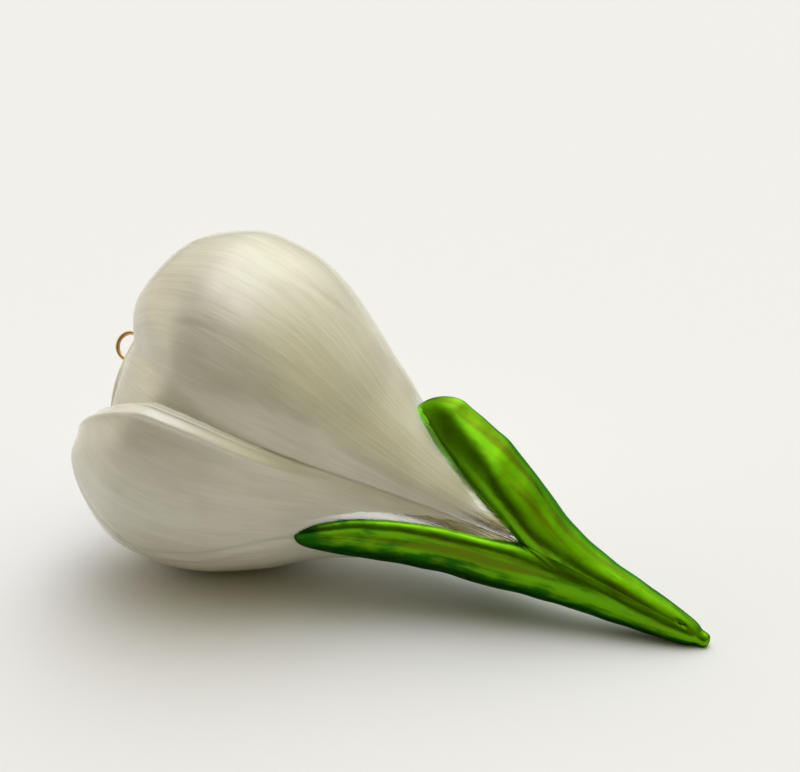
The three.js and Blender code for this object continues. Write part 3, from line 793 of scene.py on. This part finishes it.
def aim_camera(stage):
    """The camera: its direction from azimuth and elevation, its distance from the stem's end, and its place
    such that this end falls on the given point of an image 800 by 772."""
    azimuth, elevation = stage.azimuth, stage.elevation
    back = np.array((np.sin(azimuth) * np.cos(elevation), -np.cos(azimuth) * np.cos(elevation),
                     np.sin(elevation)))
    level = np.array((np.cos(azimuth), np.sin(azimuth), 0.0))
    right = level * np.cos(stage.bank) + np.cross(back, level) * np.sin(stage.bank)
    up = np.cross(back, right)
    focal = stage.lens / SENSOR_MM * IMAGE_WIDTH
    dx = (stage.stem_x - IMAGE_WIDTH / 2) / focal
    dy = (IMAGE_HEIGHT / 2 - stage.stem_y) / focal
    stem_end = np.array(stage.stem_end)
    place_at = stem_end - stage.distance * (-back + dx * right + dy * up)
    camera = bpy.data.cameras.new("camera")
    camera.sensor_width = SENSOR_MM
    camera.sensor_fit = "HORIZONTAL"
    camera.lens = stage.lens
    camera.clip_start = 0.01
    camera.dof.use_dof = False
    view = bpy.data.objects.new("camera", camera)
    bpy.context.scene.collection.objects.link(view)
    turn = Matrix([[*row] for row in np.stack((right, up, back), axis=1)])
    view.matrix_world = Matrix.Translation(place_at) @ turn.to_4x4()
    return view


class ORNAMENT_shape(bpy.types.PropertyGroup):
    """Sizes of the flower that a user may change."""
    tilt: FloatProperty(name="Lying tilt", description="Angle of the axis to the table", unit="ROTATION",
                        subtype="ANGLE", default=np.radians(17.35))
    roll: FloatProperty(name="Roll", description="Turn round the axis as it lies", unit="ROTATION",
                        subtype="ANGLE", default=np.radians(-3.7))
    flat_depth: FloatProperty(name="Flat depth", description="How far the resting spots are ground off",
                              unit="LENGTH", subtype="DISTANCE", default=0.0003)
    glass: FloatProperty(name="Glass", description="Thickness of the blown wall", unit="LENGTH",
                         subtype="DISTANCE", default=0.00075)
    columns: IntProperty(name="Columns", description="Points of each ring for one petal", default=168, min=96)
    fineness: FloatProperty(name="Fineness", description="Multiplies the rings along the flower", default=2.9,
                            min=1.0)


class ORNAMENT_finish(bpy.types.PropertyGroup):
    """Colours of the lacquers and the metal."""
    pearl: FloatVectorProperty(name="Pearl", description="Light tone of the petals", subtype="COLOR",
                               default=(0.71, 0.69, 0.585))
    pearl_deep: FloatVectorProperty(name="Deep pearl", description="Darker streaks of the petals",
                                    subtype="COLOR", default=(0.56, 0.53, 0.42))
    # Lighter pearl for the petals' rims: a painted highlight where light falls on the bevels.
    pearl_rim_highlight: FloatVectorProperty(name="Pearl rims", description="Thicker pearl along the petals' rims",
                                   subtype="COLOR", default=(0.88, 0.87, 0.78))
    silver: FloatVectorProperty(name="Silvering", description="Bare silvered glass", subtype="COLOR",
                                default=(0.80, 0.80, 0.76))
    leaf: FloatVectorProperty(name="Leaf green", description="Bright ridges of the leaves",
                              subtype="COLOR", default=(0.13, 0.38, 0.001))
    # Deep green is painted shade on the leaves' undersides and along their edges, and also random deep spots.
    leaf_deep: FloatVectorProperty(name="Deep green", description="Channels and edges of the leaves",
                                   subtype="COLOR", default=(0.012, 0.12, 0.001))
    # Brown green is random blotches, and also painted shade in the leaves' channels.
    leaf_brown: FloatVectorProperty(name="Brown green", description="Blotches on the leaves",
                                    subtype="COLOR", default=(0.11, 0.15, 0.001))
    leaf_edge: FloatVectorProperty(name="Edge tint", description="Tint of the green seen at a slant",
                                   subtype="COLOR", default=(0.06, 0.35, 0.02))
    brass: FloatVectorProperty(name="Brass", description="Cap and wire", subtype="COLOR",
                               default=(0.74, 0.52, 0.24))
    brass_dull: FloatVectorProperty(name="Dull brass", description="Tarnished patches", subtype="COLOR",
                                    default=(0.36, 0.23, 0.10))


class ORNAMENT_stage(bpy.types.PropertyGroup):
    """The table, the light and the camera."""
    table: FloatVectorProperty(name="Table", description="Colour of the table", subtype="COLOR",
                               default=(0.82, 0.825, 0.872))
    table_size: FloatProperty(name="Table size", description="Side of the table", unit="LENGTH",
                              subtype="DISTANCE", default=8.0)
    lamp_power: FloatProperty(name="Lamp power", description="Multiplies the light of all lamps", default=1.0,
                              min=0.0)
    wall: FloatVectorProperty(name="Wall", description="What shows past the table", subtype="COLOR",
                              default=(0.85, 0.85, 0.83))
    azimuth: FloatProperty(name="Azimuth", description="The camera's turn from the front", unit="ROTATION",
                           subtype="ANGLE", default=np.radians(19.8))
    elevation: FloatProperty(name="Elevation", description="The camera's height as an angle",
                             unit="ROTATION", subtype="ANGLE", default=np.radians(24.0))
    bank: FloatProperty(name="Bank", description="The camera's turn round its own view", unit="ROTATION",
                        subtype="ANGLE", default=np.radians(1.78))
    distance: FloatProperty(name="Distance", description="Depth of the stem's end from the camera",
                            unit="LENGTH", subtype="DISTANCE", default=0.35)
    lens: FloatProperty(name="Lens", description="Focal length in millimetres", default=88.3)
    stem_x: FloatProperty(name="Stem end X", description="Where the stem's end falls, from the left",
                          subtype="PIXEL", default=707.8)
    stem_y: FloatProperty(name="Stem end Y", description="Where the stem's end falls, from the top",
                          subtype="PIXEL", default=641.6)
    stem_end: FloatVectorProperty(name="Stem end", description="The stem's end in the frame", unit="LENGTH",
                                  subtype="TRANSLATION", default=(0.05942, 0.0, 0.0009), precision=5)


def settle(piece, node, material):
    """Gives a finished piece its material, hangs it under the root body's empty and hides the CAD part it
    replaces.
    """
    piece.data.materials.clear()
    piece.data.materials.append(material)
    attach(piece, "root")
    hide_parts(node)


class ORNAMENT_OT_glass(bpy.types.Operator):
    """Makes the blown glass flower."""
    bl_idname = "ornament.glass"
    bl_label = "Glass flower"

    def execute(self, context):
        scene = context.scene
        settle(flower_glass(scene.ornament_shape), "glass_body",
               pearl_material(scene.ornament_finish))
        return {"FINISHED"}


class ORNAMENT_OT_leaves(bpy.types.Operator):
    """Makes the green coat on the stem and leaves."""
    bl_idname = "ornament.leaves"
    bl_label = "Green stem and leaves"

    def execute(self, context):
        scene = context.scene
        settle(leaf_lacquer(scene.ornament_shape), "glass_body",
               green_material(scene.ornament_finish))
        return {"FINISHED"}


class ORNAMENT_OT_cap(bpy.types.Operator):
    """Makes the crimped metal cap."""
    bl_idname = "ornament.cap"
    bl_label = "Cap"

    def execute(self, context):
        scene = context.scene
        settle(metal_cap(scene.ornament_shape), "cap",
               brass_material("brass_sheet", scene.ornament_finish, 0.8))
        return {"FINISHED"}


class ORNAMENT_OT_wire(bpy.types.Operator):
    """Makes the bent wire with its hanging loop."""
    bl_idname = "ornament.wire"
    bl_label = "Wire hanger"

    def execute(self, context):
        scene = context.scene
        settle(wire_hanger(scene.ornament_shape), "wire_hanger",
               brass_material("brass_wire", scene.ornament_finish, 0.5))
        return {"FINISHED"}


class ORNAMENT_OT_stage(bpy.types.Operator):
    """Makes the table, the light and the camera."""
    bl_idname = "ornament.stage"
    bl_label = "Table, light and camera"

    def execute(self, context):
        scene = context.scene
        stage = scene.ornament_stage
        half, below = stage.table_size / 2 / MM, -0.02
        corners = np.array(((-half, -half, below), (half, -half, below), (half, half, below),
                            (-half, half, below)))
        table = make_piece("table", corners, np.array(((0, 1, 2, 3),)))
        table.data.materials.append(table_material(stage))
        scene.world = studio_world(stage)
        scene.camera = aim_camera(stage)
        scene.view_settings.view_transform = "Standard"
        return {"FINISHED"}


class ORNAMENT_PT_panel(bpy.types.Panel):
    """Buttons and settings of the ornament."""
    bl_label = "Glass crocus ornament"
    bl_idname = "ORNAMENT_PT_panel"
    bl_space_type = "VIEW_3D"
    bl_region_type = "UI"
    bl_category = "Ornament"

    def draw(self, context):
        layout = self.layout
        for maker in MAKERS:
            layout.operator(maker.bl_idname)
        for name, group in GROUPS.items():
            box = layout.box()
            for setting in group.__annotations__:
                box.prop(getattr(context.scene, name), setting)


MAKERS = (ORNAMENT_OT_stage, ORNAMENT_OT_glass, ORNAMENT_OT_leaves, ORNAMENT_OT_cap, ORNAMENT_OT_wire)
GROUPS = {"ornament_shape": ORNAMENT_shape, "ornament_finish": ORNAMENT_finish,
          "ornament_stage": ORNAMENT_stage}


def register():
    for item in (*GROUPS.values(), *MAKERS, ORNAMENT_PT_panel):
        bpy.utils.register_class(item)
    for name, group in GROUPS.items():
        setattr(bpy.types.Scene, name, PointerProperty(type=group))


def unregister():
    for name in GROUPS:
        delattr(bpy.types.Scene, name)
    for item in reversed((*GROUPS.values(), *MAKERS, ORNAMENT_PT_panel)):
        bpy.utils.unregister_class(item)


def main():
    """Makes everything in order."""
    register()
    bpy.ops.ornament.stage()
    bpy.ops.ornament.glass()
    bpy.ops.ornament.leaves()
    bpy.ops.ornament.cap()
    bpy.ops.ornament.wire()


if __name__ == "__main__":
    main()
